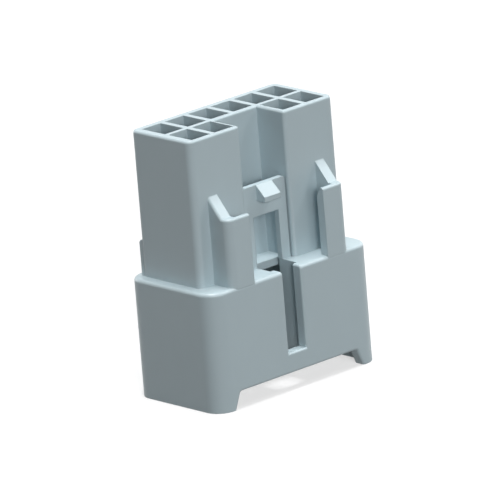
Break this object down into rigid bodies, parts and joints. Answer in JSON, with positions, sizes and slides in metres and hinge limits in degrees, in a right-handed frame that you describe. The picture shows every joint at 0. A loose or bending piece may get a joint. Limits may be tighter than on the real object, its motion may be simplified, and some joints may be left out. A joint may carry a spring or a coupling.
{
  "type": "cable connector housing",
  "caption": "Bare tab-side housing of a cable connector: open terminal cavities, a recessed lock tongue, bracket rails and a hood for the mating plug.",
  "frame": {"origin": "middle of the rim that the housing stands on, where the plug enters", "axes": "+Z runs from the plug's side to the wires' side, +X runs along the rows of cavities, -Y is the side with the lock tongue"},
  "size_m": [0.0296, 0.0166, 0.0371],
  "materials": {
    "housing": "satin"
  },
  "bodies": {
    "root": {"housing": "housing"}
  },
  "joints": []
}
